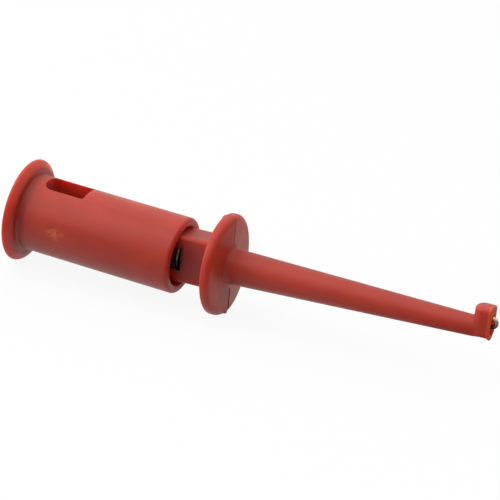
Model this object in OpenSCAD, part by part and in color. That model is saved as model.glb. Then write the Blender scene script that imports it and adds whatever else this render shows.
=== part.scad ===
// Plunger-action test hook clip for electronics work.
// Millimetres. The barrel axis is X and its nose points to +X; Z is up, on the side of the raised head tooth.
// The origin is on the axis, at the seam on the front face of the finger flange.

/* [Barrel] */
// Nose length, from the finger flange to the front of the head
nose_length = 30.45; // [26:0.05:36]
// Nose diameter where it leaves the finger flange
nose_root_d = 4.1; // [3.6:0.1:5]
// Radius of the fillet at the nose root
nose_root_fillet = 0.6; // [0.2:0.1:1]
// Finger flange diameter
finger_flange_d = 11.55; // [9.5:0.05:14]
// Finger flange thickness at the seam
finger_flange_seam_t = 1.42; // [1.3:0.02:2]
// Finger flange thickness at the sides
finger_flange_side_t = 1.06; // [0.9:0.02:1.3]
// Radius on the front edge of the finger flange
flange_front_r = 0.75; // [0.3:0.05:0.85]
// Radius on the rear edge of the finger flange
flange_rear_r = 0.3; // [0.1:0.05:0.4]
// Seam gap at the top of the finger flange
seam_top_gap = 0.08; // [0.04:0.01:0.15]
// Seam gap at the bottom of the finger flange
seam_bottom_gap = 0.3; // [0.15:0.01:0.5]
// Length of the guide behind the finger flange
guide_length = 5.65; // [5:0.05:6.2]
// Width of the guide across the seam
guide_w = 3.8; // [3.4:0.1:4.2]
// Radius on the long edges of the guide
guide_edge_r = 0.4; // [0.2:0.05:0.6]
// Depth of the spring seat in the end of the guide
spring_seat_depth = 1.6; // [1:0.05:2]
// Wall above and below the spring seat
spring_seat_wall = 0.45; // [0.35:0.05:0.7]
// Diameter of the pegs that line up the two halves
peg_d = 0.8; // [0.6:0.05:1]
// How far a peg stands out of its half
peg_length = 0.7; // [0.4:0.05:0.9]

/* [Head] */
// Wall on each side of the hook slot in the head
head_wall = 0.575; // [0.4:0.025:0.8]
// Thickness of the head tooth above the hook slot
tooth_roof = 1.05; // [0.8:0.05:1.3]
// Thickness of the head tooth behind the hook slot
tooth_back = 0.76; // [0.6:0.02:0.9]
// Radius of the round back of the head tooth, seen from above
tooth_back_r = 1.3; // [1.2:0.05:2]
// Depth of the hook slot, from the front of the head
hook_slot_depth = 1.3; // [1:0.05:1.8]
// Depth of the hook slot below the axis
hook_slot_drop = 0.8; // [0.5:0.05:1]
// Radius on the rear top corner of the head tooth
tooth_corner_r = 0.35; // [0.2:0.05:0.5]
// Radius of the flare that carries the nose up into the back of the head tooth
tooth_flare_r = 0.6; // [0.5:0.05:1]
// How far the lip under the head stands out below the nose
lip_drop = 0.2; // [0.1:0.05:0.4]
// Thickness of the lip under the head
lip_t = 0.35; // [0.25:0.05:0.8]

/* [Plunger] */
// Plunger tube diameter
tube_d = 8.8; // [8:0.1:10]
// Plunger tube wall
tube_wall = 0.9; // [0.7:0.05:1.1]
// Depth of the spring bore, from the mouth to the web
spring_bore_depth = 11.18; // [10:0.02:13]
// Thickness of the web between the spring bore and the solder pocket
web_t = 1.2; // [0.8:0.05:1.8]
// Diameter of the hook hole in the web
web_hole_d = 1.6; // [1.5:0.05:1.8]
// Solder pocket length along the tube
pocket_length = 5.2; // [4.6:0.1:6.5]
// Solder pocket width across the tube
pocket_width = 3.84; // [3.6:0.02:4.6]
// Solder pocket depth below the tube axis
pocket_drop = 1.7; // [1.4:0.1:2.2]
// Corner radius of the solder pocket at its front end
pocket_front_r = 0.4; // [0.3:0.05:1]
// Corner radius of the solder pocket at its rear end
pocket_rear_r = 1.1; // [0.3:0.05:1.4]
// Solid end behind the solder pocket, up to the thumb face
thumb_end_t = 2.53; // [2:0.01:4]
// Thumb flange diameter
thumb_flange_d = 11.93; // [10.4:0.01:14]
// Width of the narrow land around the thumb face
thumb_rim_t = 0.1; // [0.06:0.02:0.2]
// Thumb flange thickness at the bead on its front edge
thumb_bead_t = 0.7; // [0.65:0.01:0.8]
// Radius of the bead on the front edge of the thumb flange
thumb_bead_r = 0.3; // [0.2:0.02:0.32]
// How far the centre of the bead lies inside the rim of the thumb flange
thumb_bead_inset = 0.8; // [0.7:0.05:1]
// Thumb flange thickness where it meets the tube
thumb_root_t = 0.95; // [0.85:0.05:1.2]
// Radius of the fillet between the thumb flange and the tube
thumb_fillet_r = 0.5; // [0.1:0.05:0.55]
// Lean of the loose plunger on its guide, rear end up, in degrees
plunger_lean = 2.9; // [0:0.1:3.2]

/* [Hook and spring] */
// Hook wire diameter
hook_wire_d = 0.5; // [0.4:0.01:0.6]
// Radius of the hook bend, to the middle of the wire
hook_bend_r = 0.6; // [0.5:0.02:0.75]
// How far the centre of the hook bend lies behind the front of the head
hook_bend_setback = 0.2; // [0.1:0.01:0.5]
// Radius of the tail bend, to the middle of the wire
tail_bend_r = 0.75; // [0.6:0.05:0.85]
// Spring wire diameter
spring_wire_d = 0.55; // [0.4:0.01:0.6]
// Spring turns, closed end turns included
spring_turns = 8; // [6.5:0.5:9]

/* [Motion and fits] */
// Plunger travel
travel = 4; // [3:0.1:4.4]
// Gap left between the plunger mouth and the finger flange at full travel
stop_gap = 0.28; // [0.1:0.02:0.4]
// Running clearance of the hook in its channel
channel_clearance = 0.08; // [0.03:0.01:0.12]
// Side clearance of the hook in the head slot
hook_side_clearance = 0.275; // [0.15:0.005:0.3]
// Clearance of the guide in the plunger bore
guide_clearance = 0.07; // [0.05:0.01:0.2]
// Clearance of the spring in its seat
spring_seat_clearance = 0.2; // [0.1:0.05:0.3]
// Clearance of the spring post inside the spring
post_clearance = 0.3; // [0.2:0.05:0.5]
// Clearance of the pegs in their holes
peg_clearance = 0.03; // [0.01:0.01:0.06]
// Gap at faces that meet when the clip is closed
seat_gap = 0.04; // [0.02:0.01:0.08]

/* [Hidden] */
$fn = 64;
beyond = 1;

// Barrel stations along X
flange_rear_x = -finger_flange_seam_t;
flange_mid_x = flange_rear_x / 2;
flange_fall = finger_flange_seam_t - finger_flange_side_t;
guide_end_x = flange_rear_x - guide_length;
spring_seat_x = guide_end_x + spring_seat_depth;
finger_flange_r = finger_flange_d / 2;

// Plunger stations along its own axis, before it leans
tube_r = tube_d / 2;
bore_r = tube_r - tube_wall;
rest_gap = travel + stop_gap + tube_r * sin(plunger_lean);
mouth_x = flange_rear_x - rest_gap;
web_front_x = mouth_x - spring_bore_depth;
web_rear_x = web_front_x - web_t;
pocket_rear_x = web_rear_x - pocket_length;
thumb_face_x = pocket_rear_x - thumb_end_t;
mouth_round = tube_wall / 2;
mouth_chamfer = tube_wall / 5;

// The plunger leans about a point in the front half of its spring bore
lean_share = 0.45;
lean_x = mouth_x - lean_share * spring_bore_depth;
mouth_drop = (mouth_x - lean_x) * tan(plunger_lean);
// Where a cross plane of the leaning plunger meets the barrel axis
function on_axis(x) = lean_x + (x - lean_x) / cos(plunger_lean);

// Thumb flange
thumb_flange_r = thumb_flange_d / 2;

// Guide and spring post, from the bore that slides over them: the guide's corners reach out to the bore
guide_reach = bore_r - mouth_drop - guide_clearance;
guide_corner_y = guide_w / 2 - guide_edge_r;
guide_corner_z = sqrt(pow(guide_reach - guide_edge_r, 2) - pow(guide_corner_y, 2));
guide_h = 2 * (guide_corner_z + guide_edge_r);
spring_seat_r = guide_h / 2 - spring_seat_wall;
spring_or = spring_seat_r - spring_seat_clearance;
spring_r = spring_or - spring_wire_d / 2;
post_r = spring_r - spring_wire_d / 2 - post_clearance;
post_gap = 2 * post_clearance;
post_end_x = web_front_x + travel + post_gap;
post_length = flange_mid_x - post_end_x;
post_chamfer = post_r / 5;

// Hook
wire_r = hook_wire_d / 2;
channel_r = wire_r + channel_clearance;
hook_bend_x = nose_length - hook_bend_setback;
hook_slot_x = nose_length - hook_slot_depth;
hook_leg_z = 2 * hook_bend_r;
hook_leg_x = hook_slot_x + seat_gap;
tail_seat = seat_gap + wire_r * tan(plunger_lean);
tail_bend_x = on_axis(pocket_rear_x) + tail_seat + wire_r + tail_bend_r;
tail_leg_x = on_axis(web_rear_x) - tail_seat;

// Head
hook_slot_w = hook_wire_d + 2 * hook_side_clearance;
hook_slot_top = hook_leg_z + wire_r + channel_clearance;
head_w = hook_slot_w + 2 * head_wall;
head_top = hook_slot_top + tooth_roof;
tooth_x = hook_slot_x - tooth_back;
tooth_edge_r = head_w / 7;
flare_inset = head_wall / 8;
nose_root_r = nose_root_d / 2;
nose_tip_r = head_w / 2;
lip_r = nose_tip_r + lip_drop;
function nose_r(x) = nose_root_r + (nose_tip_r - nose_root_r) * x / nose_length;

// Pegs: [x, z] of each, halfway between the hook channel and the outside
guide_peg_x = (spring_seat_x + flange_rear_x) / 2;
guide_peg_z = (channel_r + guide_h / 2) / 2;
nose_peg_x = nose_root_d;
nose_peg_z = (channel_r + nose_r(nose_peg_x)) / 2;
peg_places = [for (side = [-1, 1], place = [[guide_peg_x, guide_peg_z], [nose_peg_x, nose_peg_z]])
    [place.x, side * place.y]];
peg_hole_r = peg_d / 2 + peg_clearance;
peg_hole_depth = peg_length + peg_clearance;

// Spring
spring_wire_r = spring_wire_d / 2;
spring_front_x = spring_seat_x - seat_gap;
spring_rear_x = on_axis(web_front_x) + spring_or * tan(plunger_lean) + seat_gap;
spring_length = spring_front_x - spring_rear_x;
spring_end_turns = 1;
spring_end_gap = spring_wire_d / 25;
spring_end_pitch = spring_wire_d + spring_end_gap;
spring_rise = spring_length - spring_wire_d;
spring_open_turns = spring_turns - 2 * spring_end_turns;
spring_open_pitch = (spring_rise - 2 * spring_end_turns * spring_end_pitch) / spring_open_turns;
spring_steps = 20;
spring_sides = 8;
spring_start_angle = 60;

// Turn a revolved or extruded form from the Z axis to the X axis
module along_x(x = 0) {
    translate([x, 0, 0]) rotate([0, 90, 0]) children();
}

// Lean the plunger on its guide
module leaning() {
    translate([lean_x, 0, 0]) rotate([0, plunger_lean, 0]) translate([-lean_x, 0, 0]) children();
}

// Rectangle with round corners, centred
module round_rectangle(size, r) {
    square([size.x, size.y - 2 * r], center = true);
    square([size.x - 2 * r, size.y], center = true);
    for (x = [-1, 1], y = [-1, 1])
        translate([x * (size.x / 2 - r), y * (size.y / 2 - r)]) circle(r);
}

// Concave corner between a shaft of radius r and a face below it, to revolve about the shaft
module fillet_section(r, fillet) {
    translate([r, 0]) difference() {
        square(fillet);
        translate([fillet, fillet]) circle(fillet);
    }
}

// Finger flange: a flat back, round edges and two front faces that fall away from the seam like a roof
module finger_flange() {
    reach = finger_flange_r + beyond;
    fall = flange_fall * reach / finger_flange_r;
    behind_x = flange_rear_x - beyond;
    difference() {
        intersection() {
            along_x(flange_rear_x) rotate_extrude() flange_section();
            linear_extrude(2 * reach, center = true)
                polygon([[0, 0], [-fall, reach], [behind_x, reach], [behind_x, -reach], [-fall, -reach]]);
        }
        rotate([90, 0, 90]) linear_extrude(2 * reach, center = true) polygon([
            [-seam_top_gap / 2, finger_flange_r], [-seam_bottom_gap / 2, -finger_flange_r],
            [seam_bottom_gap / 2, -finger_flange_r], [seam_top_gap / 2, finger_flange_r]
        ]);
    }
}

// Section of the finger flange, to revolve: radius along X, distance from the back along Y
module flange_section() {
    front_r = finger_flange_r - flange_front_r;
    rear_r = finger_flange_r - flange_rear_r;
    square([front_r, finger_flange_seam_t]);
    square([rear_r, finger_flange_seam_t - flange_front_r]);
    translate([0, flange_rear_r])
        square([finger_flange_r, finger_flange_seam_t - flange_front_r - flange_rear_r]);
    translate([front_r, finger_flange_seam_t - flange_front_r]) circle(flange_front_r);
    translate([rear_r, flange_rear_r]) circle(flange_rear_r);
}

// Tapered nose with a fillet at its root
module nose() {
    along_x(flange_mid_x) cylinder(nose_length - flange_mid_x, nose_r(flange_mid_x), nose_tip_r);
    along_x() rotate_extrude() fillet_section(nose_r(nose_root_fillet), nose_root_fillet);
}

// Flare that bends up out of the nose into the back of the tooth
module tooth_flare() {
    start_x = tooth_x - tooth_flare_r;
    section_r = nose_tip_r - flare_inset;
    start_z = nose_r(start_x) - flare_inset - section_r;
    length = tooth_flare_r + beyond + flare_inset;
    intersection() {
        translate([start_x, 0, start_z + section_r + tooth_flare_r])
            rotate([90, 0, 0]) rotate([0, 0, -90])
                rotate_extrude(angle = 90) translate([tooth_flare_r + section_r, 0]) circle(section_r);
        translate([start_x - beyond, -head_w, 0]) cube([length, 2 * head_w, head_top]);
    }
}

// Tooth that stands up at the tip, and the lip under it
module head() {
    tooth_length = nose_length - tooth_x;
    intersection() {
        translate([0, head_w, 0]) rotate([90, 0, 0]) linear_extrude(2 * head_w) {
            translate([tooth_x + tooth_corner_r, head_top - tooth_corner_r]) circle(tooth_corner_r);
            translate([tooth_x, 0]) square([tooth_length, head_top - tooth_corner_r]);
            translate([tooth_x + tooth_corner_r, 0]) square([tooth_length - tooth_corner_r, head_top]);
        }
        translate([tooth_x, 0, head_top - head_w]) rotate([90, 0, 90])
            linear_extrude(tooth_length) round_rectangle([head_w, 2 * head_w], tooth_edge_r);
        translate([tooth_x + tooth_back_r, 0, -beyond]) linear_extrude(head_top + 2 * beyond) {
            circle(tooth_back_r);
            translate([0, -tooth_back_r]) square([tooth_length, 2 * tooth_back_r]);
        }
    }
    intersection() {
        along_x(nose_length - lip_t) cylinder(lip_t, nose_tip_r, lip_r);
        translate([tooth_x, -head_w / 2, -2 * lip_r]) cube([tooth_length, head_w, 2 * lip_r]);
    }
}

// Guide that the plunger slides over, with the spring seated in its end, and the post inside the spring
module guide_and_post() {
    difference() {
        translate([guide_end_x, 0, 0]) rotate([90, 0, 90])
            linear_extrude(flange_mid_x - guide_end_x) round_rectangle([guide_w, guide_h], guide_edge_r);
        along_x(guide_end_x - beyond) cylinder(spring_seat_depth + beyond, r = spring_seat_r);
    }
    along_x(post_end_x) rotate_extrude() polygon([
        [0, 0], [post_r - post_chamfer, 0], [post_r, post_chamfer], [post_r, post_length], [0, post_length]
    ]);
}

// The two barrel halves together, with the room for the hook cut out
module whole_barrel() {
    difference() {
        union() {
            finger_flange();
            nose();
            tooth_flare();
            head();
            guide_and_post();
        }
        along_x(post_end_x - beyond) cylinder(nose_length - post_end_x + 2 * beyond, r = channel_r);
        translate([hook_slot_x, -hook_slot_w / 2, -hook_slot_drop])
            cube([hook_slot_depth + beyond, hook_slot_w, hook_slot_top + hook_slot_drop]);
    }
}

// One side of the seam: side is 1 for the left half and -1 for the right
module half_of_barrel(side) {
    reach = finger_flange_r + beyond;
    length = nose_length - post_end_x + 2 * beyond;
    intersection() {
        whole_barrel();
        translate([post_end_x - beyond, min(0, side * reach), -reach]) cube([length, reach, 2 * reach]);
    }
}

module at_pegs() {
    for (place = peg_places) translate([place[0], 0, place[1]]) rotate([-90, 0, 0]) children();
}

module barrel_left_half() {
    color("firebrick") difference() {
        half_of_barrel(1);
        at_pegs() translate([0, 0, -beyond]) cylinder(peg_hole_depth + beyond, r = peg_hole_r);
    }
}

module barrel_right_half() {
    color("indianred") {
        half_of_barrel(-1);
        at_pegs() translate([0, 0, -peg_length]) cylinder(2 * peg_length, d = peg_d);
    }
}

// Where a line from a point touches a circle; turn is -1 for its clockwise side and 1 for the other
function tangent_point(centre, r, from, turn) =
    let (arm = from - centre)
    let (a = atan2(arm.y, arm.x) + turn * acos(r / norm(arm)))
    centre + r * [cos(a), sin(a)];

// Section of the thumb flange and tube, to revolve: radius along X, distance from the thumb face along Y
module plunger_section() {
    length = mouth_x - thumb_face_x;
    rim = [thumb_flange_r, thumb_rim_t];
    bead = [thumb_flange_r - thumb_bead_inset, thumb_bead_t - thumb_bead_r];
    root = [tube_r, thumb_root_t];
    bead_start = tangent_point(bead, thumb_bead_r, rim, 1);
    bead_end = tangent_point(bead, thumb_bead_r, root, -1);
    slope = (root.y - bead_end.y) / (bead_end.x - root.x);
    translate(bead) circle(thumb_bead_r);
    polygon([[0, 0], [thumb_flange_r, 0], rim, bead_start, bead, bead_end, root, [0, thumb_root_t]]);
    translate([0, thumb_root_t - slope * thumb_fillet_r]) fillet_section(tube_r, thumb_fillet_r);
    square([tube_r, length - mouth_round]);
    square([tube_r - mouth_round, length]);
    translate([tube_r - mouth_round, length - mouth_round]) circle(mouth_round);
}

// Plan of the solder pocket, with rounder corners at its rear end
module pocket_plan() {
    front = [web_rear_x - pocket_front_r, pocket_width / 2 - pocket_front_r];
    rear = [pocket_rear_x + pocket_rear_r, pocket_width / 2 - pocket_rear_r];
    translate([rear.x, -pocket_width / 2]) square([front.x - rear.x, pocket_width]);
    translate([pocket_rear_x, -rear.y]) square([pocket_length / 2, 2 * rear.y]);
    translate([web_rear_x - pocket_length / 2, -front.y]) square([pocket_length / 2, 2 * front.y]);
    for (side = [-1, 1]) {
        translate([front.x, side * front.y]) circle(pocket_front_r);
        translate([rear.x, side * rear.y]) circle(pocket_rear_r);
    }
}

module plunger() {
    color("crimson") leaning() difference() {
        along_x(thumb_face_x) rotate_extrude() plunger_section();
        along_x(web_front_x) cylinder(spring_bore_depth + beyond, r = bore_r);
        along_x(mouth_x - mouth_chamfer) cylinder(mouth_chamfer, bore_r, bore_r + mouth_chamfer);
        along_x(web_rear_x - beyond) cylinder(web_t + 2 * beyond, d = web_hole_d);
        translate([0, 0, -pocket_drop]) linear_extrude(pocket_drop + tube_r + beyond) pocket_plan();
    }
}

// Half a turn of hook wire about Z, on the side of +X, from y = -r to y = r
module wire_bend(r) {
    rotate([0, 0, -90]) rotate_extrude(angle = 180) translate([r, 0]) circle(wire_r);
}

// Straight hook wire along X
module wire_run(x_from, x_to) {
    along_x(x_from) cylinder(x_to - x_from, r = wire_r);
}

module hook() {
    color("gold") {
        wire_run(tail_bend_x, hook_bend_x);
        translate([hook_bend_x, 0, hook_bend_r]) rotate([90, 0, 0]) wire_bend(hook_bend_r);
        translate([0, 0, hook_leg_z]) wire_run(hook_leg_x, hook_bend_x);
        translate([tail_bend_x, tail_bend_r, 0]) mirror([1, 0, 0]) wire_bend(tail_bend_r);
        translate([0, 2 * tail_bend_r, 0]) wire_run(tail_bend_x, tail_leg_x);
    }
}

// How far the coil has run from its front end after some turns: closed, open, closed
function spring_run(turn) =
    let (open_turn = min(max(turn - spring_end_turns, 0), spring_open_turns))
    open_turn * spring_open_pitch + (turn - open_turn) * spring_end_pitch;

// One ring of points around the coil's wire
function spring_ring(turn) =
    let (a = spring_start_angle + 360 * turn)
    let (x = spring_front_x - spring_wire_r - spring_run(turn))
    [for (side = [0 : spring_sides - 1])
        let (b = 360 * side / spring_sides)
        let (r = spring_r + spring_wire_r * cos(b))
        [x + spring_wire_r * sin(b), r * cos(a), r * sin(a)]];

module return_spring() {
    last = round(spring_turns * spring_steps);
    points = [for (step = [0 : last]) each spring_ring(step / spring_steps)];
    walls = [for (step = [0 : last - 1], side = [0 : spring_sides - 1])
        let (next = (side + 1) % spring_sides)
        [spring_sides * step + side, spring_sides * step + next,
         spring_sides * (step + 1) + next, spring_sides * (step + 1) + side]];
    front_end = [for (side = [spring_sides - 1 : -1 : 0]) side];
    rear_end = [for (side = [0 : spring_sides - 1]) spring_sides * last + side];
    color("silver") polyhedron(points, concat(walls, [front_end, rear_end]), convexity = 10);
}

barrel_left_half();
barrel_right_half();
plunger();
hook();
return_spring();
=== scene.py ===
"""Red plunger-action test hook clip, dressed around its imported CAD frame."""
import math

import bmesh
import bpy
from mathutils import Matrix, Vector


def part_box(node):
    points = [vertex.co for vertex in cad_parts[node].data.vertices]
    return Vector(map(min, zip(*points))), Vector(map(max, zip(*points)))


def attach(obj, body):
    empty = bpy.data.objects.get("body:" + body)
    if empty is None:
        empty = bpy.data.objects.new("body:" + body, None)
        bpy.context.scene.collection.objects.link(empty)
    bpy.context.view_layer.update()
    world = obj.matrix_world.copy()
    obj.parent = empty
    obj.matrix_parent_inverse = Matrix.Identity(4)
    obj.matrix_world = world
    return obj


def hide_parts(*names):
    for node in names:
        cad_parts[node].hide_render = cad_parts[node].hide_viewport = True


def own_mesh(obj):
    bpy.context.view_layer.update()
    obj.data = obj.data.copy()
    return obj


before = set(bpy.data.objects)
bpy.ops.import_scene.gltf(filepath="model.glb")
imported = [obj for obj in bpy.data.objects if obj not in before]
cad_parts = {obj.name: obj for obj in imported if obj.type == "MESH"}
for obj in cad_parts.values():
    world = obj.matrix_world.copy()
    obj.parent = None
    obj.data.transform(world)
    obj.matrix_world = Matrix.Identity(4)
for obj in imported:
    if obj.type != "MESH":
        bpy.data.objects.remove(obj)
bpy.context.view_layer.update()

# Lengths of the clip are in millimetres until a piece is finished, and angles are written in degrees;
# the barrel axis is X and the nose points to +X; cutters run BEYOND what they cut, and SINK keeps
# two faces from lying in one plane
MM = 0.001
SEGMENTS = 144
HOLE_SEGMENTS = 36
CORNER_STEPS = 8
SMALLEST_EDGE = 0.02
BEYOND = 1.0
SINK = 0.02
SHARP_ANGLE = 35

# Barrel
NOSE_LENGTH = 30.45
NOSE_ROOT_R = 2.05
NOSE_TIP_R = 1.1
NOSE_STEP = 1.2
ROOT_FILLET = 0.6
FLANGE_R = 5.775
FLANGE_SEAM_T = 1.42
FLANGE_SIDE_T = 1.06
FLANGE_FRONT_EDGE = 0.75
FLANGE_REAR_EDGE = 0.3
FLASH_T = 0.5
FLASH_STEPS = 6
TOP_FLASH_SPAN = 1.5
BOTTOM_FLASH_SPAN = 1.2
BOTTOM_FLASH_INSET = 0.2
SEAM_TOP_GAP = 0.08
SEAM_BOTTOM_GAP = 0.3
SEAM_CHAMFER = 0.03
SEAM_LINE = 0.004
GUIDE_LENGTH = 5.65
GUIDE_HALF_W = 1.9
GUIDE_HALF_H = 2.735
GUIDE_EDGE = 0.4
GUIDE_END_EDGE = 0.1
SEAT_R = 2.285
SEAT_DEPTH = 1.6
POST_R = 1.235
POST_GAP = 0.6
POST_EDGE = 0.25
PEG_R = 0.4
PEG_LENGTH = 0.7
PEG_CLEARANCE = 0.03

# Head
TOOTH_X = 28.39
TOOTH_BACK = 0.9
TOOTH_TOP = 2.58
TOOTH_BOTTOM = -0.75
TOOTH_TOP_EDGE = 0.45
TOOTH_LOW_EDGE = 0.35
TOOTH_FRONT_EDGE = 0.14
FLARE_R = 0.4
FLARE_START = 20
CORE_R = 1.07
LIP_DROP = 0.23
LIP_LENGTH = 0.4
LIP_STEPS = 5
SLOT_X = 29.15
SLOT_HALF = 0.525
SLOT_TOP = 1.53
SLOT_BOTTOM = -0.8
SLOT_EDGE = 0.1

# Plunger, along its own axis before it leans
TRAVEL = 4.0
STOP_GAP = 0.28
LEAN = math.radians(2.9)
LEAN_SHARE = 0.45
TUBE_R = 4.4
BORE_R = 3.5
BORE_DEPTH = 11.18
WEB_T = 1.2
WEB_HOLE_R = 0.8
MOUTH_OUTER_EDGE = 0.42
MOUTH_INNER_EDGE = 0.18
POCKET_LENGTH = 5.2
POCKET_HALF = 1.92
POCKET_DROP = 1.7
POCKET_FRONT_R = 0.3
POCKET_REAR_R = 1.1
POCKET_FLOOR_EDGE = 0.25
POCKET_RIM_EDGE = 0.06
POCKET_RIM_ANGLE = 65
THUMB_END_T = 2.53
THUMB_R = 5.962
THUMB_RIM_T = 0.3
THUMB_RIM_EDGE = 0.5
THUMB_FACE_EDGE = 0.04
THUMB_BEAD_X = 0.95
THUMB_BEAD_R = 5.1
THUMB_BEAD_EDGE = 0.4
THUMB_ROOT_T = 1.02
THUMB_FILLET = 0.3

# Hook and spring
HOOK_WIRE_R = 0.25
HOOK_BEND_R = 0.48
HOOK_BEND_X = 30.37
HOOK_RISE = 0.3
HOOK_RISE_X = 29.6
HOOK_LEG_X = 29.19
TAIL_BEND_R = 0.75
CHANNEL_R = 0.33
WIRE_SIDES = 20
WIRE_END_EDGE = 0.08
SPRING_R = 1.81
SPRING_WIRE_R = 0.275
SPRING_TURNS = 8
SPRING_STEPS = 40
SPRING_END_PITCH = 0.572
SPRING_START = 60
SEAT_GAP = 0.04

# Stations worked out from the sizes above
TIP_X = NOSE_LENGTH - SINK
FLANGE_REAR_X = -FLANGE_SEAM_T
GUIDE_END_X = FLANGE_REAR_X - GUIDE_LENGTH
SEAT_X = GUIDE_END_X + SEAT_DEPTH
MOUTH_X = FLANGE_REAR_X - TRAVEL - STOP_GAP - TUBE_R * math.sin(LEAN)
WEB_FRONT_X = MOUTH_X - BORE_DEPTH
WEB_REAR_X = WEB_FRONT_X - WEB_T
POCKET_REAR_X = WEB_REAR_X - POCKET_LENGTH
THUMB_FACE_X = POCKET_REAR_X - THUMB_END_T
POST_END_X = WEB_FRONT_X + TRAVEL + POST_GAP
LEAN_X = MOUTH_X - LEAN_SHARE * BORE_DEPTH
TO_LEAN_X = Matrix.Translation((LEAN_X, 0, 0))
LEANING = TO_LEAN_X @ Matrix.Rotation(LEAN, 4, "Y") @ TO_LEAN_X.inverted()
TAIL_SEAT = SEAT_GAP + HOOK_WIRE_R * math.tan(LEAN)
TAIL_BEND_X = (LEANING @ Vector((POCKET_REAR_X, 0, 0))).x + TAIL_SEAT + HOOK_WIRE_R + TAIL_BEND_R
TAIL_LEG_X = (LEANING @ Vector((WEB_REAR_X, 0, 0))).x - TAIL_SEAT
SPRING_FRONT_X = SEAT_X - SEAT_GAP
SPRING_REAR_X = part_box("return_spring")[0].x / MM

# Linear colours of the materials and of the marks on them; all marks but the gate mark are painted light and
# shade
DARK_NYLON = (0.46, 0.022, 0.004)
PALE_NYLON = (0.55, 0.031, 0.007)
# painted glow: the head's front edges lit as if light shone through their thin walls
PAINTED_EDGE_GLOW = (0.85, 0.09, 0.015)
# painted highlight along the upper rim of the thumb flange
PAINTED_RIM_HIGHLIGHT = (0.75, 0.12, 0.06)
GATE_NYLON = (0.66, 0.15, 0.055)
# painted shade in the crease where the thumb flange meets the tube
PAINTED_CREASE_SHADE = (0.2, 0.007, 0.002)
# painted shade over the guide, where the plunger's tube shades it
PAINTED_GUIDE_SHADE = (0.27, 0.01, 0.003)
# painted shade around the spring's seat where it shows through the guide's side
PAINTED_WINDOW_SHADE = (0.02, 0.008, 0.005)
DARK_GOLD = (0.68, 0.44, 0.25)
PALE_GOLD = (0.85, 0.6, 0.38)
# painted shade on the lower side of the gold hook
PAINTED_HOOK_SHADE = (0.06, 0.045, 0.03)
DARK_STEEL = (0.1, 0.095, 0.085)
PALE_STEEL = (0.22, 0.21, 0.19)
# painted shade on the near, lower side of the spring's coils
PAINTED_COIL_SHADE = (0.008, 0.008, 0.007)
WHITE = (1, 1, 1, 1)

# Where the marks lie; the gate mark is where the plunger's moulding gate was trimmed, the rest place painted
# shade and highlight
GATE_MARK = (-20.05, -4.4, 0.3)
CREASE_HALF = 0.35
HIGHLIGHT_RIM_X = 0.4
HIGHLIGHT_RIM_Z = 4.5
WINDOW_SHADE_RISE = 0.4
COIL_SHADE_DROP = 0.8
HOOK_SHADE_DROP = 0.1
FAR = 1000.0

# Noise in the materials: scales in features per metre, spans as shares of the noise
MOTTLE_SCALE = 700
MOTTLE_DETAIL = 6.0
MOTTLE_STRETCH = (0.4, 1, 1)
MOTTLE_SPAN = (0.3, 0.7)
SHINE_SCALE = 900
SHINE_STRETCH = (0.3, 1, 1)
PATCH_SCALE = 2600
PATCH_DETAIL = 4.0
PATCH_SPAN = (0.45, 0.6)
MARK_CORE = 0.5

# Camera: angles about the part's frame, distances in metres, lens and sensor in millimetres,
# shift as a share of the picture
CAMERA_AZIMUTH = 22.44
CAMERA_ELEVATION = 20.65
CAMERA_ROLL = 5.54
CAMERA_DISTANCE = 0.2564
CAMERA_LENS = 166.2
CAMERA_SENSOR = 36.0
CAMERA_SHIFT = (0.0357, 0.0319)
CAMERA_CLIP = (0.01, 10)

# Soft light around the clip: strongest from above the thumb, weakest from low beside the nose
LIGHT_FROM = (-0.4, 0.25, 0.88)
STRONGEST_LIGHT = 1.2
WEAKEST_LIGHT = 0.12
WEAKEST_AT = -0.4

# Floor, in metres; in reflections it dims from one x to another
FLOOR_HALF = 0.4
FLOOR_FADE = (0.008, 0.03)
FLOOR_DIM = 0.2
FLOOR_BOUNCE = (0.35, 0.35, 0.35, 1)
FLOOR_PAPER = (0.9, 0.9, 0.9, 1)
FLOOR_WHITE_SHARE = 0.9


def turn(points):
    """Angles of evenly spaced points around a circle, none of them on the seam plane."""
    return [2 * math.pi * (i + 0.5) / points for i in range(points)]


def rounded(corners):
    """Line through (x, y, radius) corners, each rounded by its radius except the first and last."""
    line = [Vector(corners[0][:2])]
    for before, corner, after in zip(corners, corners[1:], corners[2:]):
        place = Vector(corner[:2])
        radius = corner[2]
        if radius == 0:
            line.append(place)
            continue
        back = (Vector(before[:2]) - place).normalized()
        ahead = (Vector(after[:2]) - place).normalized()
        half = back.angle(ahead) / 2
        centre = place + (back + ahead).normalized() * radius / math.sin(half)
        start = place + back * radius / math.tan(half) - centre
        sweep_angle = start.angle_signed(place + ahead * radius / math.tan(half) - centre)
        for i in range(CORNER_STEPS + 1):
            line.append(centre + Matrix.Rotation(-sweep_angle * i / CORNER_STEPS, 2) @ start)
    line.append(Vector(corners[-1][:2]))
    return line


def skin(name, rings):
    """Closed solid through rings of points; a ring of one point is a pole."""
    shape = bmesh.new()
    rows = [[shape.verts.new(point) for point in ring] for ring in rings]
    for one, two in zip(rows, rows[1:]):
        for i in range(max(len(one), len(two))):
            corners = [one[i % len(one)], one[(i + 1) % len(one)], two[(i + 1) % len(two)], two[i % len(two)]]
            shape.faces.new(dict.fromkeys(corners))
    for end in (rows[0], rows[-1]):
        if len(end) > 1:
            shape.faces.new(end)
    bmesh.ops.triangulate(shape, faces=shape.faces[:])
    bmesh.ops.recalc_face_normals(shape, faces=shape.faces[:])
    mesh = bpy.data.meshes.new(name)
    shape.to_mesh(mesh)
    shape.free()
    solid = bpy.data.objects.new(name, mesh)
    bpy.context.collection.objects.link(solid)
    return solid


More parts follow.
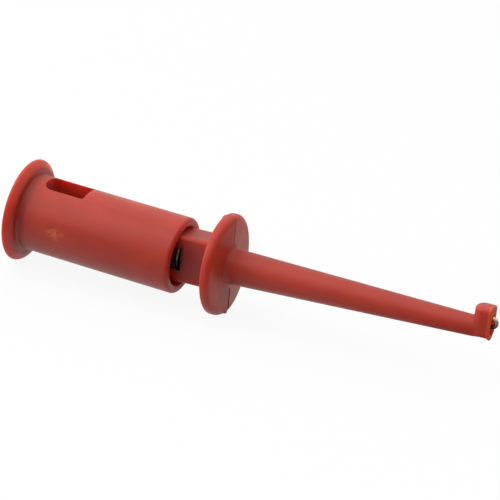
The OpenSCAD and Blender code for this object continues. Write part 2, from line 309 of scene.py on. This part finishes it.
def lathe(name, profile, bend=lambda point: point, sides=SEGMENTS):
    """Solid turned about X from a line of (x, radius), with each point moved by bend."""
    rings = []
    for x, r in profile:
        if r == 0:
            rings.append([bend(Vector((x, 0, 0)))])
        else:
            rings.append([bend(Vector((x, r * math.cos(a), r * math.sin(a)))) for a in turn(sides)])
    return skin(name, rings)


def rod(name, start, end, radius, sides=SEGMENTS):
    """Plain round bar along X."""
    return lathe(name, [(start, 0), (start, radius), (end, radius), (end, 0)], sides=sides)


def corner_arc(centre, radius, start):
    """A quarter circle of (y, z) points, from a start angle in degrees."""
    angles = [math.radians(start + 90 * i / CORNER_STEPS) for i in range(CORNER_STEPS + 1)]
    return [(centre[0] + radius * math.cos(a), centre[1] + radius * math.sin(a)) for a in angles]


def box_ring(x, inset, half, low, high, low_edge, high_edge):
    """Rounded rectangle across X, drawn in by inset."""
    side = half - inset
    top = high - inset
    bottom = low + inset
    top_r = max(high_edge - inset, SMALLEST_EDGE)
    bottom_r = max(low_edge - inset, SMALLEST_EDGE)
    outline = corner_arc((side - top_r, top - top_r), top_r, 0)
    outline += corner_arc((top_r - side, top - top_r), top_r, 90)
    outline += corner_arc((bottom_r - side, bottom + bottom_r), bottom_r, 180)
    outline += corner_arc((side - bottom_r, bottom + bottom_r), bottom_r, 270)
    return [Vector((x, y, z)) for y, z in outline]


def edge_stations(x, toward, edge):
    """(x, inset) stations that round the end of a bar, from its end face inwards."""
    angles = [math.pi / 2 * i / CORNER_STEPS for i in range(CORNER_STEPS + 1)]
    return [(x + toward * edge * (1 - math.cos(a)), edge * (1 - math.sin(a))) for a in angles]


def bar(name, stations, *section):
    """Bar along X through (x, inset) stations."""
    return skin(name, [box_ring(x, inset, *section) for x, inset in stations])


def wire(name, path, radius):
    """Round wire along a path, its two ends eased."""
    rings = []
    across = Vector((0, 0, 1))
    for i, point in enumerate(path):
        along = (path[min(i + 1, len(path) - 1)] - path[max(i - 1, 0)]).normalized()
        across = (across - along * across.dot(along)).normalized()
        other = along.cross(across)
        ring_r = radius - WIRE_END_EDGE if i in (0, len(path) - 1) else radius
        spokes = [math.cos(a) * across + math.sin(a) * other for a in turn(WIRE_SIDES)]
        rings.append([point + ring_r * spoke for spoke in spokes])
    return skin(name, rings)


def combine(solid, other, operation):
    """Join, cut or keep the common part of a solid with another, which is used up."""
    modifier = solid.modifiers.new("combine", "BOOLEAN")
    modifier.object = other
    modifier.operation = operation
    modifier.solver = "EXACT"
    result = bpy.data.meshes.new_from_object(solid.evaluated_get(bpy.context.evaluated_depsgraph_get()))
    solid.modifiers.clear()
    solid.data = result
    bpy.data.objects.remove(other)


def finish_piece(solid, body, material, node):
    """Bring a solid to metres, shade it and hand it to the frame in place of its CAD node."""
    solid.data.transform(Matrix.Scale(MM, 4))
    solid.data.shade_smooth()
    solid.data.set_sharp_from_angle(angle=math.radians(SHARP_ANGLE))
    solid.data.materials.clear()
    solid.data.materials.append(material)
    normals = solid.modifiers.new("normals", "WEIGHTED_NORMAL")
    normals.keep_sharp = True
    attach(solid, body)
    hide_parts(node)


def roof(point):
    """Let the front of the finger flange fall away from the seam like a roof, and the nose root with it."""
    fall = (FLANGE_SEAM_T - FLANGE_SIDE_T) * abs(point.y) / FLANGE_R
    band_x = FLANGE_REAR_X + FLANGE_REAR_EDGE
    rising = (point.x - band_x) / -band_x
    fading = 1 - point.x / ROOT_FILLET
    return point - Vector((fall * max(0, min(1, rising, fading)), 0, 0))


def lip(point):
    """Carry the bottom of the nose out to the lip at its tip."""
    run = max(0, (point.x - NOSE_LENGTH) / LIP_LENGTH + 1)
    return point + Vector((0, 0, min(0, point.z) * run * LIP_DROP / CORE_R))


def nose_r(x):
    """Radius of the tapered nose."""
    return NOSE_ROOT_R + (NOSE_TIP_R - NOSE_ROOT_R) * x / NOSE_LENGTH


def nose_stations():
    """(x, radius, edge) stations of the nose and of the round core of its head."""
    steps = round(TOOTH_X / NOSE_STEP)
    places = [TOOTH_X * i / steps for i in range(1, steps + 1)]
    stations = [(x, nose_r(x), 0) for x in places]
    stations.append((TOOTH_X + TOOTH_BACK, CORE_R, 0))
    lip_start = NOSE_LENGTH - LIP_LENGTH
    lip_end = TIP_X - 2 * TOOTH_FRONT_EDGE
    for i in range(LIP_STEPS):
        stations.append((lip_start + (lip_end - lip_start) * i / LIP_STEPS, CORE_R, 0))
    return stations


def seam_cutter():
    """Gap between the halves of the finger flange, wider at the bottom, that stops short of the nose."""
    reach = FLANGE_R + BEYOND
    wedge = []
    for x, grow in ((FLANGE_REAR_X - BEYOND, 0), (-SEAM_CHAMFER, 0), (BEYOND, SEAM_CHAMFER + BEYOND)):
        top = SEAM_TOP_GAP / 2 + grow
        bottom = SEAM_BOTTOM_GAP / 2 + grow
        wedge.append([Vector((x, top, reach)), Vector((x, -top, reach)),
                      Vector((x, -bottom, -reach)), Vector((x, bottom, -reach))])
    cutter = skin("seam_gap", wedge)
    nose_root = rod("nose_root", FLANGE_REAR_X - 2 * BEYOND, 2 * BEYOND, NOSE_ROOT_R + ROOT_FILLET)
    combine(cutter, nose_root, "DIFFERENCE")
    return cutter


def tooth_ring(height, inset, back=0.0, follow=0.0):
    """Outline of the tooth from above, drawn in by inset, its back let out and bent down along the nose."""
    centre_x = TOOTH_X + TOOTH_BACK
    length = TOOTH_BACK - inset + back
    half = NOSE_TIP_R - inset
    corner_x = NOSE_LENGTH - inset * TOOTH_FRONT_EDGE / TOOTH_TOP_EDGE - TOOTH_FRONT_EDGE
    steps = 4 * CORNER_STEPS
    angles = [math.pi / 2 + math.pi * i / steps for i in range(steps + 1)]
    outline = [(centre_x + length * math.cos(a), half * math.sin(a)) for a in angles]
    outline += corner_arc((corner_x, TOOTH_FRONT_EDGE - half), TOOTH_FRONT_EDGE, 270)
    outline += corner_arc((corner_x, half - TOOTH_FRONT_EDGE), TOOTH_FRONT_EDGE, 0)
    nose = nose_r(TOOTH_X)
    return [Vector((x, y, height - follow * (nose - math.sqrt(nose ** 2 - y ** 2)))) for x, y in outline]


def make_tooth():
    """Tooth that stands up at the tip, its back flared out of the nose."""
    rings = [tooth_ring(z, inset) for z, inset in edge_stations(TOOTH_BOTTOM, 1, TOOTH_LOW_EDGE)]
    flare_z = nose_r(TOOTH_X - FLARE_R)
    for i in range(CORNER_STEPS + 1):
        share = i / CORNER_STEPS
        angle = math.radians(FLARE_START + (90 - FLARE_START) * share)
        height = flare_z + FLARE_R * (1 - math.cos(angle))
        rings.append(tooth_ring(height, 0, FLARE_R * (1 - math.sin(angle)), 1 - share))
    rings += [tooth_ring(z, inset) for z, inset in reversed(edge_stations(TOOTH_TOP, -1, TOOTH_TOP_EDGE))]
    return skin("tooth", rings)


def make_guide():
    """Guide that the plunger slides over, with the spring's seat bored in its end."""
    stations = edge_stations(GUIDE_END_X, 1, GUIDE_END_EDGE) + [(FLANGE_REAR_X + FLANGE_SIDE_T / 2, 0)]
    guide = bar("guide", stations, GUIDE_HALF_W, -GUIDE_HALF_H, GUIDE_HALF_H, GUIDE_EDGE, GUIDE_EDGE)
    combine(guide, rod("spring_seat", GUIDE_END_X - BEYOND, SEAT_X, SEAT_R), "DIFFERENCE")
    return guide


def half_space(side):
    """Block that holds all of the barrel on one side of the seam plane."""
    reach = FLANGE_R + BEYOND
    rings = []
    for y in (side * SEAM_LINE, side * reach):
        rings.append([Vector((POST_END_X - BEYOND, y, -reach)), Vector((NOSE_LENGTH + BEYOND, y, -reach)),
                      Vector((NOSE_LENGTH + BEYOND, y, reach)), Vector((POST_END_X - BEYOND, y, reach))])
    return skin("half_space", rings)


def make_pegs(grow):
    """The four pegs that line up the halves, grown by a clearance; they cross the seam plane."""
    places = []
    guide_x = (SEAT_X + FLANGE_REAR_X) / 2
    nose_x = 2 * NOSE_ROOT_R
    for x, outside in ((guide_x, GUIDE_HALF_H), (nose_x, nose_r(nose_x))):
        places += [(x, (CHANNEL_R + outside) / 2), (x, -(CHANNEL_R + outside) / 2)]
    pegs = []
    for x, z in places:
        reach = PEG_LENGTH + grow
        peg = rod("peg", -reach, reach, PEG_R + grow, sides=HOLE_SEGMENTS)
        peg.data.transform(Matrix.Translation((x, 0, z)) @ Matrix.Rotation(math.pi / 2, 4, "Z"))
        pegs.append(peg)
    return pegs


def make_flash(name, start, span, level, corner_x, inward, inset):
    """Sliver of flash that fills the right half's round edge beside the seam and thins out along the rim;
    level is 1 at the top and -1 at the bottom, inward is the way from the edge into the flange."""
    rings = []
    for i in range(FLASH_STEPS + 1):
        share = i / FLASH_STEPS
        y = -start - span * share
        edge = inset + FLASH_T / 2 * max(0, 2 * share - 1)
        outer = level * (math.sqrt(FLANGE_R ** 2 - y ** 2) - edge - SINK)
        inner = outer - level * FLASH_T
        face = corner_x + inward * (edge - inset + SINK)
        back = face + inward * FLASH_T
        rings.append([Vector((face, y, outer)), Vector((back, y, outer)),
                      Vector((back, y, inner)), Vector((face, y, inner))])
    return skin(name, rings)


def make_barrel():
    """Both halves of the barrel: left at y > 0, right at y < 0."""
    barrel = lathe("barrel_right", rounded([
        (FLANGE_REAR_X, 0), (FLANGE_REAR_X, FLANGE_R, FLANGE_REAR_EDGE), (0, FLANGE_R, FLANGE_FRONT_EDGE),
        (0, NOSE_ROOT_R, ROOT_FILLET), *nose_stations(), (TIP_X, CORE_R, TOOTH_FRONT_EDGE), (TIP_X, 0)
    ]), lambda point: lip(roof(point)))
    combine(barrel, seam_cutter(), "DIFFERENCE")
    top_flash = make_flash("top_flash", start=SEAM_TOP_GAP / 2, span=TOP_FLASH_SPAN, level=1,
                           corner_x=FLANGE_REAR_X, inward=1, inset=0)
    combine(barrel, top_flash, "UNION")
    bottom_flash = make_flash("bottom_flash", start=SEAM_BOTTOM_GAP / 2, span=BOTTOM_FLASH_SPAN, level=-1,
                              corner_x=0, inward=-1, inset=BOTTOM_FLASH_INSET)
    combine(barrel, bottom_flash, "UNION")
    combine(barrel, make_tooth(), "UNION")
    combine(barrel, make_guide(), "UNION")
    post_front_x = SEAT_X + BEYOND
    combine(barrel, lathe("post", rounded([
        (POST_END_X, 0), (POST_END_X, POST_R, POST_EDGE), (post_front_x, POST_R, 0), (post_front_x, 0)
    ])), "UNION")
    ends = (POST_END_X - BEYOND, NOSE_LENGTH + BEYOND)
    stations = (ends[0], 2 * POST_END_X - ends[0], 2 * SLOT_X - ends[1], ends[1])
    channel = [(ends[0], 0), *[(x, CHANNEL_R) for x in stations], (ends[1], 0)]
    combine(barrel, lathe("channel", channel, sides=HOLE_SEGMENTS), "DIFFERENCE")
    slot = edge_stations(SLOT_X, 1, SLOT_EDGE)
    slot += [(NOSE_LENGTH - TOOTH_FRONT_EDGE, 0), (NOSE_LENGTH + BEYOND, -BEYOND - TOOTH_FRONT_EDGE)]
    hook_slot = bar("hook_slot", slot, SLOT_HALF, SLOT_BOTTOM, SLOT_TOP, SLOT_EDGE, SLOT_EDGE)
    combine(barrel, hook_slot, "DIFFERENCE")
    left = barrel.copy()
    left.data = barrel.data.copy()
    left.name = "barrel_left"
    bpy.context.collection.objects.link(left)
    for half, side in ((left, 1), (barrel, -1)):
        combine(half, half_space(side), "INTERSECT")
    for peg in make_pegs(0):
        combine(barrel, peg, "UNION")
    for hole in make_pegs(PEG_CLEARANCE):
        combine(left, hole, "DIFFERENCE")
    return left, barrel


def pocket_ring(grow, height):
    """Outline of the solder pocket, grown sideways, each point at a height found from its y."""
    half = POCKET_HALF + grow
    front_r = POCKET_FRONT_R + grow
    rear_r = POCKET_REAR_R + grow
    front_x = WEB_REAR_X - POCKET_FRONT_R
    rear_x = POCKET_REAR_X + POCKET_REAR_R
    shares = [1 - 2 * i / CORNER_STEPS for i in range(1, CORNER_STEPS)]
    outline = corner_arc((front_x, half - front_r), front_r, 0)
    outline += corner_arc((rear_x, half - rear_r), rear_r, 90)
    outline += [(rear_x - rear_r, (half - rear_r) * share) for share in shares]
    outline += corner_arc((rear_x, rear_r - half), rear_r, 180)
    outline += corner_arc((front_x, front_r - half), front_r, 270)
    outline += [(front_x + front_r, -(half - front_r) * share) for share in shares]
    return [Vector((x, y, height(y))) for x, y in outline]


def make_pocket():
    """Cutter for the solder pocket, with a round floor edge and a round rim where it leaves the tube."""
    rings = []
    for drop, inset in edge_stations(0, 1, POCKET_FLOOR_EDGE):
        rings.append(pocket_ring(-inset, lambda y, drop=drop: drop - POCKET_DROP))
    for i in range(CORNER_STEPS + 1):
        angle = math.radians(POCKET_RIM_ANGLE) * i / CORNER_STEPS
        depth = POCKET_RIM_EDGE * (1 - math.sin(angle))
        grow = POCKET_RIM_EDGE * (1 - math.cos(angle))
        rings.append(pocket_ring(grow, lambda y, depth=depth: math.sqrt(TUBE_R ** 2 - y ** 2) - depth))
    rim = math.radians(POCKET_RIM_ANGLE)
    grow += POCKET_RIM_EDGE * math.sin(rim)
    rise = POCKET_RIM_EDGE * math.cos(rim) - depth
    rings.append(pocket_ring(grow, lambda y: math.sqrt(TUBE_R ** 2 - y ** 2) + rise))
    rings.append(pocket_ring(grow, lambda y: TUBE_R + BEYOND))
    return skin("pocket", rings)


def make_plunger():
    """Thumb flange, tube, spring bore, web and solder pocket, leaning on the guide."""
    hole_end_x = WEB_REAR_X - BEYOND
    plunger = lathe("plunger_body", rounded([
        (THUMB_FACE_X, 0),
        (THUMB_FACE_X, THUMB_R, THUMB_FACE_EDGE),
        (THUMB_FACE_X + THUMB_RIM_T, THUMB_R, THUMB_RIM_EDGE),
        (THUMB_FACE_X + THUMB_BEAD_X, THUMB_BEAD_R, THUMB_BEAD_EDGE),
        (THUMB_FACE_X + THUMB_ROOT_T, TUBE_R, THUMB_FILLET),
        (MOUTH_X, TUBE_R, MOUTH_OUTER_EDGE),
        (MOUTH_X, BORE_R, MOUTH_INNER_EDGE),
        (WEB_FRONT_X, BORE_R, MOUTH_INNER_EDGE),
        (WEB_FRONT_X, WEB_HOLE_R, MOUTH_INNER_EDGE),
        (hole_end_x, WEB_HOLE_R, 0),
        (hole_end_x, 0),
    ]))
    combine(plunger, make_pocket(), "DIFFERENCE")
    plunger.data.transform(LEANING)
    return plunger


def half_circle(centre, radius, start, axes):
    """Points of half a turn in the plane of two axes, from a start angle in degrees."""
    steps = 3 * CORNER_STEPS
    angles = [math.radians(start + 180 * i / steps) for i in range(steps + 1)]
    return [centre + radius * (math.cos(a) * axes[0] + math.sin(a) * axes[1]) for a in angles]


def make_hook():
    """One length of wire: the tail in the solder pocket, the shank and the hook at the tip."""
    x_axis, y_axis, z_axis = Matrix.Identity(3)
    tail = Vector((TAIL_LEG_X, 2 * TAIL_BEND_R, 0))
    leg = Vector((HOOK_LEG_X, 0, HOOK_RISE + 2 * HOOK_BEND_R))
    path = [tail, tail - WIRE_END_EDGE * x_axis]
    path += half_circle(Vector((TAIL_BEND_X, TAIL_BEND_R, 0)), TAIL_BEND_R, 90, (x_axis, y_axis))
    for i in range(CORNER_STEPS):
        share = i / CORNER_STEPS
        climb = HOOK_RISE * (1 - math.cos(math.pi * share)) / 2
        path.append(Vector((HOOK_RISE_X + (HOOK_BEND_X - HOOK_RISE_X) * share, 0, climb)))
    bend = Vector((HOOK_BEND_X, 0, HOOK_RISE + HOOK_BEND_R))
    path += half_circle(bend, HOOK_BEND_R, -90, (x_axis, z_axis))
    path += [leg + WIRE_END_EDGE * x_axis, leg]
    return wire("hook_wire", path, HOOK_WIRE_R)


def make_spring():
    """Coil with a closed turn at each end, from its seat in the guide back to the web."""
    rise = SPRING_FRONT_X - SPRING_REAR_X - 2 * SPRING_WIRE_R
    open_turns = SPRING_TURNS - 2
    open_pitch = (rise - 2 * SPRING_END_PITCH) / open_turns
    path = []
    for i in range(SPRING_TURNS * SPRING_STEPS + 1):
        turned = i / SPRING_STEPS
        opened = min(max(turned - 1, 0), open_turns)
        run = opened * open_pitch + (turned - opened) * SPRING_END_PITCH
        angle = math.radians(SPRING_START) + 2 * math.pi * turned
        path.append(Vector((SPRING_FRONT_X - SPRING_WIRE_R - run,
                            SPRING_R * math.cos(angle), SPRING_R * math.sin(angle))))
    return wire("spring_coil", path, SPRING_WIRE_R)


def add_node(tree, kind, **values):
    """New shader node with values set on its inputs by name."""
    node = tree.nodes.new(kind)
    for name, value in values.items():
        node.inputs[name.replace("_", " ")].default_value = value
    return node


def ramp(tree, source, low, high):
    """Colour ramp between two linear colours, driven by a socket of noise."""
    node = tree.nodes.new("ShaderNodeValToRGB")
    node.color_ramp.elements[0].position = MOTTLE_SPAN[0]
    node.color_ramp.elements[0].color = (*low, 1)
    node.color_ramp.elements[1].position = MOTTLE_SPAN[1]
    node.color_ramp.elements[1].color = (*high, 1)
    tree.links.new(source, node.inputs["Fac"])
    return node.outputs["Color"]


def noise(tree, coords, scale, detail=3.0, stretch=(1, 1, 1)):
    """Noise in the piece's own space; scale is in features per metre."""
    mapping = add_node(tree, "ShaderNodeMapping", Scale=stretch)
    tree.links.new(coords, mapping.inputs["Vector"])
    node = add_node(tree, "ShaderNodeTexNoise", Scale=scale, Detail=detail)
    tree.links.new(mapping.outputs["Vector"], node.inputs["Vector"])
    return node.outputs["Fac"]


def surface(name, dark, light, shine, grain_scale, grain_height, **values):
    """Mottled material: two base colours, a range of roughness, a fine bump and values of the shader."""
    material = bpy.data.materials.new(name)
    material.use_nodes = True
    tree = material.node_tree
    shader = tree.nodes["Principled BSDF"]
    for socket, value in values.items():
        shader.inputs[socket.replace("_", " ")].default_value = value
    coords = tree.nodes.new("ShaderNodeTexCoord").outputs["Object"]
    mottle = noise(tree, coords, MOTTLE_SCALE, MOTTLE_DETAIL, MOTTLE_STRETCH)
    tree.links.new(ramp(tree, mottle, dark, light), shader.inputs["Base Color"])
    roughness = add_node(tree, "ShaderNodeMapRange", To_Min=shine[0], To_Max=shine[1])
    tree.links.new(noise(tree, coords, SHINE_SCALE, stretch=SHINE_STRETCH), roughness.inputs["Value"])
    tree.links.new(roughness.outputs["Result"], shader.inputs["Roughness"])
    bump = add_node(tree, "ShaderNodeBump", Strength=1.0, Distance=grain_height)
    tree.links.new(noise(tree, coords, grain_scale), bump.inputs["Height"])
    tree.links.new(bump.outputs["Normal"], shader.inputs["Normal"])
    return material


def overlay(material, colour, place, reach, share, lean=0.0, patchy=False):
    """Lay a colour over a material inside a soft ellipsoid, in millimetres; patchy breaks it into specks."""
    tree = material.node_tree
    coords = tree.nodes.new("ShaderNodeTexCoord").outputs["Object"]
    inside = add_node(tree, "ShaderNodeMapping", Location=Vector(place) * MM, Rotation=(0, lean, 0),
                      Scale=Vector(reach) * MM)
    inside.vector_type = "TEXTURE"
    tree.links.new(coords, inside.inputs["Vector"])
    distance = tree.nodes.new("ShaderNodeVectorMath")
    distance.operation = "LENGTH"
    tree.links.new(inside.outputs["Vector"], distance.inputs[0])
    cover = add_node(tree, "ShaderNodeMapRange", From_Min=MARK_CORE, To_Min=share, To_Max=0.0)
    tree.links.new(distance.outputs["Value"], cover.inputs["Value"])
    amount = cover.outputs["Result"]
    if patchy:
        patches = add_node(tree, "ShaderNodeMapRange", From_Min=PATCH_SPAN[0], From_Max=PATCH_SPAN[1])
        tree.links.new(noise(tree, coords, PATCH_SCALE, PATCH_DETAIL), patches.inputs["Value"])
        tree.links.new(amount, patches.inputs["To Max"])
        amount = patches.outputs["Result"]
    base = tree.nodes["Principled BSDF"].inputs["Base Color"]
    blend = add_node(tree, "ShaderNodeMixRGB", Color2=(*colour, 1))
    tree.links.new(amount, blend.inputs["Fac"])
    tree.links.new(base.links[0].from_socket, blend.inputs["Color1"])
    tree.links.new(blend.outputs["Color"], base)


def make_camera():
    """Camera at the photograph's angle."""
    azimuth = math.radians(CAMERA_AZIMUTH)
    elevation = math.radians(CAMERA_ELEVATION)
    roll = math.radians(CAMERA_ROLL)
    back = Vector((math.sin(azimuth) * math.cos(elevation),
                   -math.cos(azimuth) * math.cos(elevation),
                   math.sin(elevation)))
    level = Vector((math.cos(azimuth), math.sin(azimuth), 0))
    upright = back.cross(level)
    right = level * math.cos(roll) + upright * math.sin(roll)
    up = upright * math.cos(roll) - level * math.sin(roll)
    lens = bpy.data.cameras.new("camera")
    lens.lens = CAMERA_LENS
    lens.sensor_width = CAMERA_SENSOR
    lens.shift_x, lens.shift_y = CAMERA_SHIFT
    lens.clip_start, lens.clip_end = CAMERA_CLIP
    camera = bpy.data.objects.new("camera", lens)
    axes = Matrix((right, up, back)).transposed().to_4x4()
    camera.matrix_world = Matrix.Translation(back * CAMERA_DISTANCE) @ axes
    bpy.context.collection.objects.link(camera)
    bpy.context.scene.camera = camera


def make_light(name, place, size, power):
    """Round lamp that faces the origin, in metres and watts."""
    lamp = bpy.data.lights.new(name, "AREA")
    lamp.shape = "DISK"
    lamp.size = size
    lamp.energy = power
    light = bpy.data.objects.new(name, lamp)
    light.location = place
    light.rotation_euler = (-light.location).to_track_quat("-Z", "Y").to_euler()
    bpy.context.collection.objects.link(light)


def make_world():
    """White to the camera; to all else soft light that fades from above the thumb to low by the nose."""
    world = bpy.data.worlds.new("studio")
    bpy.context.scene.world = world
    world.use_nodes = True
    tree = world.node_tree
    tree.nodes.clear()
    path = tree.nodes.new("ShaderNodeLightPath")
    facing = tree.nodes.new("ShaderNodeVectorMath")
    facing.operation = "DOT_PRODUCT"
    facing.inputs[1].default_value = LIGHT_FROM
    tree.links.new(tree.nodes.new("ShaderNodeTexCoord").outputs["Generated"], facing.inputs[0])
    level = add_node(tree, "ShaderNodeMapRange", From_Min=WEAKEST_AT,
                     To_Min=WEAKEST_LIGHT, To_Max=STRONGEST_LIGHT)
    tree.links.new(facing.outputs["Value"], level.inputs["Value"])
    ambient = add_node(tree, "ShaderNodeBackground", Color=WHITE)
    tree.links.new(level.outputs["Result"], ambient.inputs["Strength"])
    white = add_node(tree, "ShaderNodeBackground", Color=WHITE, Strength=1.0)
    mix = tree.nodes.new("ShaderNodeMixShader")
    tree.links.new(path.outputs["Is Camera Ray"], mix.inputs["Fac"])
    tree.links.new(ambient.outputs[0], mix.inputs[1])
    tree.links.new(white.outputs[0], mix.inputs[2])
    output = tree.nodes.new("ShaderNodeOutputWorld")
    tree.links.new(mix.outputs[0], output.inputs["Surface"])


def make_floor():
    """Pale floor that touches the rims of both flanges: white to the camera apart from a faint shadow,
    and dimmer towards the nose in reflections."""
    front = Vector((FLANGE_REAR_X / 2, 0, -FLANGE_R)) * MM
    rear = LEANING @ Vector((THUMB_FACE_X, 0, -THUMB_R)) * MM
    half = FLOOR_HALF
    slope = (front - rear).normalized()
    ends = ((-half, -half), (half, -half), (half, half), (-half, half))
    corners = [front + slope * x + Vector((0, y, 0)) for x, y in ends]
    mesh = bpy.data.meshes.new("floor")
    mesh.from_pydata(corners, [], [range(4)])
    floor = bpy.data.objects.new("floor", mesh)
    bpy.context.collection.objects.link(floor)
    material = bpy.data.materials.new("floor")
    material.use_nodes = True
    tree = material.node_tree
    tree.nodes.clear()
    bounce = add_node(tree, "ShaderNodeBsdfDiffuse", Color=FLOOR_BOUNCE)
    paper = add_node(tree, "ShaderNodeBsdfDiffuse", Color=FLOOR_PAPER)
    white = add_node(tree, "ShaderNodeEmission", Color=WHITE, Strength=1.0)
    seen = add_node(tree, "ShaderNodeMixShader", Fac=FLOOR_WHITE_SHARE)
    tree.links.new(paper.outputs[0], seen.inputs[1])
    tree.links.new(white.outputs[0], seen.inputs[2])
    place = tree.nodes.new("ShaderNodeSeparateXYZ")
    tree.links.new(tree.nodes.new("ShaderNodeTexCoord").outputs["Object"], place.inputs["Vector"])
    fade = add_node(tree, "ShaderNodeMapRange", From_Min=FLOOR_FADE[0], From_Max=FLOOR_FADE[1],
                    To_Min=1.0, To_Max=FLOOR_DIM)
    tree.links.new(place.outputs["X"], fade.inputs["Value"])
    mirrored = add_node(tree, "ShaderNodeEmission", Color=WHITE)
    tree.links.new(fade.outputs["Result"], mirrored.inputs["Strength"])
    path = tree.nodes.new("ShaderNodeLightPath")
    unseen = tree.nodes.new("ShaderNodeMixShader")
    tree.links.new(path.outputs["Is Glossy Ray"], unseen.inputs["Fac"])
    tree.links.new(bounce.outputs[0], unseen.inputs[1])
    tree.links.new(mirrored.outputs[0], unseen.inputs[2])
    mix = tree.nodes.new("ShaderNodeMixShader")
    tree.links.new(path.outputs["Is Camera Ray"], mix.inputs["Fac"])
    tree.links.new(unseen.outputs[0], mix.inputs[1])
    tree.links.new(seen.outputs[0], mix.inputs[2])
    output = tree.nodes.new("ShaderNodeOutputMaterial")
    tree.links.new(mix.outputs[0], output.inputs["Surface"])
    mesh.materials.append(material)


red = surface("red_nylon", DARK_NYLON, PALE_NYLON, shine=(0.42, 0.58), grain_scale=9000,
              grain_height=0.000012, Subsurface_Weight=0.7, Subsurface_Radius=(1.0, 0.2, 0.08),
              Subsurface_Scale=0.0026, Specular_IOR_Level=0.6, Sheen_Weight=0.3,
              Sheen_Roughness=0.3, Sheen_Tint=(1, 0.88, 0.8, 1))
overlay(red, GATE_NYLON, place=GATE_MARK, reach=(1.35, 1.35, 0.85), share=0.9, patchy=True)
# painted shade in the crease at the root of the thumb flange
overlay(red, PAINTED_CREASE_SHADE, place=LEANING @ Vector((THUMB_FACE_X + THUMB_ROOT_T + CREASE_HALF, 0, 0)),
        reach=(2 * CREASE_HALF, FAR, FAR), share=0.35, lean=LEAN)
# painted shade over the guide between the finger flange and the plunger's mouth
overlay(red, PAINTED_GUIDE_SHADE, place=((GUIDE_END_X + FLANGE_REAR_X) / 2, 0, 0), reach=(3.6, 4.2, 4.2), share=0.7)
# painted shade that softens and lifts the dark window of the spring's seat in the guide's near side
overlay(red, PAINTED_WINDOW_SHADE, place=(SEAT_X, -GUIDE_HALF_W, WINDOW_SHADE_RISE), reach=(0.35, 1.2, 2.0),
        share=0.7)
# painted glow on the front edges of the head, standing in for light shining through the thin walls
overlay(red, PAINTED_EDGE_GLOW, place=(NOSE_LENGTH, 0, 0), reach=(0.4, FAR, FAR), share=0.75)
# painted highlight on the upper rim of the thumb flange, paler towards the top
overlay(red, PAINTED_RIM_HIGHLIGHT, place=LEANING @ Vector((THUMB_FACE_X + HIGHLIGHT_RIM_X, 0, HIGHLIGHT_RIM_Z)),
        reach=(0.6, FAR, 5.0), share=0.4, lean=LEAN)
gold = surface("gold_plated_wire", DARK_GOLD, PALE_GOLD, shine=(0.25, 0.45), grain_scale=6000,
               grain_height=0.000008, Metallic=1.0)
# painted shade: the hook is darker towards its lower side
overlay(gold, PAINTED_HOOK_SHADE, place=(HOOK_BEND_X, 0, -HOOK_SHADE_DROP), reach=(2.0, 2.0, 1.0), share=0.9)
steel = surface("spring_steel", DARK_STEEL, PALE_STEEL, shine=(0.2, 0.35), grain_scale=6000,
                grain_height=0.000008, Metallic=1.0)
# painted shade: the coils are darker on their near, lower side, so their highlight stays near the top
overlay(steel, PAINTED_COIL_SHADE, place=(SEAT_X, -SPRING_R, -COIL_SHADE_DROP), reach=(FAR, 1.2, 1.2), share=0.9)

barrel_left, barrel_right = make_barrel()
finish_piece(barrel_left, "barrel", red, "barrel_left_half")
finish_piece(barrel_right, "barrel", red, "barrel_right_half")
finish_piece(make_plunger(), "plunger", red, "plunger")
finish_piece(make_hook(), "plunger", gold, "hook")
spring = make_spring()
finish_piece(spring, "barrel", steel, "return_spring")
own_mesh(spring)

bpy.context.scene.view_settings.view_transform = "Standard"
make_camera()
make_world()
make_floor()
make_light("key", place=(-0.15, -0.2, 0.5), size=0.5, power=0.4)
make_light("side", place=(-0.42, -0.25, 0.2), size=0.3, power=0.7)
